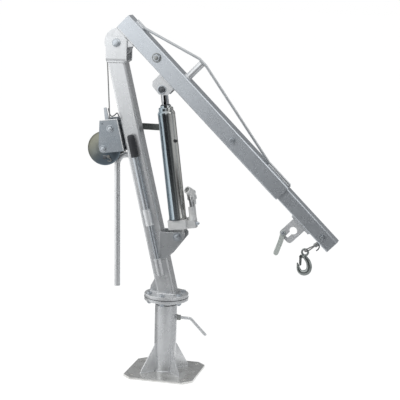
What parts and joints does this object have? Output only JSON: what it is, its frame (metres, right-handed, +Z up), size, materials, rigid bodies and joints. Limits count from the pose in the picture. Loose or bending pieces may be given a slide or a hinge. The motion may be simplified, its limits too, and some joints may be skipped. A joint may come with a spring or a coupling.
{
  "type": "truck jib crane",
  "caption": "Galvanised jib crane on a swivel base: a leaning mast carries a telescopic boom raised by a hydraulic jack, with a hand winch, wire rope and safety hook.",
  "frame": {"origin": "centre of the base plate's underside, on the swivel axis", "axes": "+Z up along the swivel axis; at rest the boom points along +X in the plane Y = 0"},
  "size_m": [0.8897, 0.289, 1.2596],
  "materials": {
    "galvanised": "hot-dip galvanised, dull light grey",
    "zinc_plated": "bright zinc plating",
    "yellow_zinc": "zinc plating with a faint yellow tint",
    "dark_bolt": "dark oiled steel",
    "hook_steel": "zinc plated forging",
    "jack_plating": "glossy zinc plating",
    "jack_casting": "zinc plated casting",
    "chromed_rod": "hard chrome, polished",
    "wire_rope": "stranded galvanised wire",
    "ferrule_metal": "pressed sleeve",
    "black_rubber": "matt black grip",
    "black_plastic": "matt black moulding"
  },
  "bodies": {
    "base": {"base_plate": "galvanised", "base_column": "galvanised", "base_gussets": "galvanised", "lock_nut": "zinc_plated"},
    "swivel_lock": {"lock_screw": "zinc_plated"},
    "mast": {"swivel_spindle": "galvanised", "mast_flange": "galvanised", "flange_bolts": "zinc_plated", "mast_tube": "galvanised", "mast_rib": "galvanised", "mast_yoke": "galvanised", "pivot_pin": "zinc_plated", "jack_bracket": "galvanised", "jack_lower_pin": "zinc_plated", "handle_sleeve_upper": "galvanised", "handle_sleeve_lower": "galvanised", "slewing_handle": "galvanised", "winch_frame": "zinc_plated", "winch_drum_shaft": "zinc_plated", "rope_lower": "wire_rope"},
    "head_sheave": {"mast_sheave": "zinc_plated"},
    "drum": {"winch_drum": "yellow_zinc", "winch_gear": "yellow_zinc", "rope_winding": "wire_rope"},
    "crank": {"crank_shaft": "zinc_plated", "ratchet_wheel": "zinc_plated", "crank_arm": "zinc_plated"},
    "crank_handle": {"crank_grip": "black_plastic"},
    "pawl": {"winch_pawl": "zinc_plated"},
    "boom": {"boom_tube": "galvanised", "boom_ears": "galvanised", "boom_lugs": "galvanised", "lug_bolt": "dark_bolt", "truss_rod": "galvanised", "truss_strut": "galvanised", "guide_axle": "zinc_plated", "clamp_screw": "zinc_plated", "rope_boom": "wire_rope"},
    "rope_guide": {"guide_roller": "zinc_plated"},
    "inner_boom": {"inner_tube": "galvanised", "tip_axle": "zinc_plated", "keyhole_strip": "galvanised", "keyhole_plate": "galvanised", "keeper_bolt": "zinc_plated", "rope_tip": "wire_rope", "rope_ferrule": "ferrule_metal", "rope_eye": "wire_rope"},
    "nose_sheave": {"tip_sheave": "zinc_plated"},
    "keeper": {"keeper_lever": "zinc_plated"},
    "hook": {"hook": "hook_steel"},
    "latch": {"hook_latch": "hook_steel"},
    "jack": {"jack_base": "jack_casting", "jack_cylinder": "jack_plating", "filler_plug": "black_plastic"},
    "ram": {"jack_ram": "chromed_rod"},
    "pump_lever": {"pump_socket": "zinc_plated"},
    "plunger": {"pump_plunger": "chromed_rod"},
    "valve": {"release_valve": "zinc_plated"},
    "stored_handle": {"handle_rod": "zinc_plated", "handle_grip": "black_rubber"}
  },
  "joints": [
    {"name": "slew", "type": "hinge", "parent": "base", "child": "mast", "pos_m": [0, 0, 0.27], "axis": [0, 0, 1], "continuous": true},
    {"name": "lock_screw_turn", "type": "hinge", "parent": "base", "child": "swivel_lock", "pos_m": [0.045, 0, 0.2045], "axis": [1, 0, 0], "continuous": true},
    {"name": "boom_lift", "type": "hinge", "parent": "mast", "child": "boom", "pos_m": [-0.19, 0, 1.165], "axis": [0, -1, 0], "range_deg": [0, 60]},
    {"name": "boom_extend", "type": "slide", "parent": "boom", "child": "inner_boom", "axis": [0.7163, 0, -0.6978], "range_m": [0, 0.3]},
    {"name": "jack_tilt", "type": "hinge", "parent": "mast", "child": "jack", "pos_m": [0.0425, 0, 0.503], "axis": [0, -1, 0], "range_deg": [-6.5, 0.5]},
    {"name": "ram_extend", "type": "slide", "parent": "jack", "child": "ram", "axis": [-0.1365, 0, 0.9906], "range_m": [-0.002, 0.222]},
    {"name": "drum_turn", "type": "hinge", "parent": "mast", "child": "drum", "pos_m": [-0.22839, 0, 0.79669], "axis": [0, -1, 0], "continuous": true},
    {"name": "crank_turn", "type": "hinge", "parent": "mast", "child": "crank", "pos_m": [-0.20484, 0, 0.86789], "axis": [0, -1, 0], "continuous": true},
    {"name": "crank_grip_spin", "type": "hinge", "parent": "crank", "child": "crank_handle", "pos_m": [-0.03284, 0.12, 0.86789], "axis": [0, -1, 0], "continuous": true},
    {"name": "pawl_swing", "type": "hinge", "parent": "mast", "child": "pawl", "pos_m": [-0.23189, 0.013, 0.88387], "axis": [0, -1, 0], "range_deg": [-25, 25]},
    {"name": "head_sheave_turn", "type": "hinge", "parent": "mast", "child": "head_sheave", "pos_m": [-0.19, 0, 1.165], "axis": [0, -1, 0], "continuous": true},
    {"name": "rope_guide_turn", "type": "hinge", "parent": "boom", "child": "rope_guide", "pos_m": [-0.04726, 0, 1.11949], "axis": [0, -1, 0], "continuous": true},
    {"name": "nose_sheave_turn", "type": "hinge", "parent": "inner_boom", "child": "nose_sheave", "pos_m": [0.5473, 0, 0.53749], "axis": [0, -1, 0], "continuous": true},
    {"name": "keeper_swing", "type": "hinge", "parent": "inner_boom", "child": "keeper", "pos_m": [0.40938, -0.007, 0.53922], "axis": [0, -1, 0], "range_deg": [-40, 100]},
    {"name": "hook_swing", "type": "hinge", "parent": "inner_boom", "child": "hook", "pos_m": [0.48709, 0, 0.47868], "axis": [0, -1, 0], "range_deg": [-75, 45]},
    {"name": "latch_open", "type": "hinge", "parent": "hook", "child": "latch", "pos_m": [0.47359, 0, 0.45998], "axis": [0, -1, 0], "range_deg": [0, 25], "stiffness_Nm_per_rad": 0.02, "springref_deg": -17.19},
    {"name": "pump_stroke", "type": "hinge", "parent": "jack", "child": "pump_lever", "pos_m": [0.08597, 0.01487, 0.63618], "axis": [0.8664, -0.4848, 0.1194], "range_deg": [-20, 20]},
    {"name": "plunger_stroke", "type": "slide", "parent": "jack", "child": "plunger", "axis": [-0.1365, 0, 0.9906], "range_m": [-0.0065, 0.0065]},
    {"name": "valve_turn", "type": "hinge", "parent": "jack", "child": "valve", "pos_m": [0.09378, -0.009, 0.54842], "axis": [0.9906, 0, 0.1365], "range_deg": [0, 270]},
    {"name": "handle_lift", "type": "slide", "parent": "mast", "child": "stored_handle", "axis": [-0.2385, 0, 0.9711], "range_m": [0, 0.24]}
  ],
  "couplings": [
    {"joint": "jack_tilt", "follows": "boom_lift", "ratio": -0.1074},
    {"joint": "ram_extend", "follows": "boom_lift", "m_per_rad": 0.20366},
    {"joint": "crank_turn", "follows": "drum_turn", "ratio": -4},
    {"joint": "head_sheave_turn", "follows": "drum_turn", "ratio": -0.42553},
    {"joint": "nose_sheave_turn", "follows": "drum_turn", "ratio": -1.4286},
    {"joint": "rope_guide_turn", "follows": "drum_turn", "ratio": 1.6},
    {"joint": "plunger_stroke", "follows": "pump_stroke", "m_per_rad": -0.017}
  ]
}
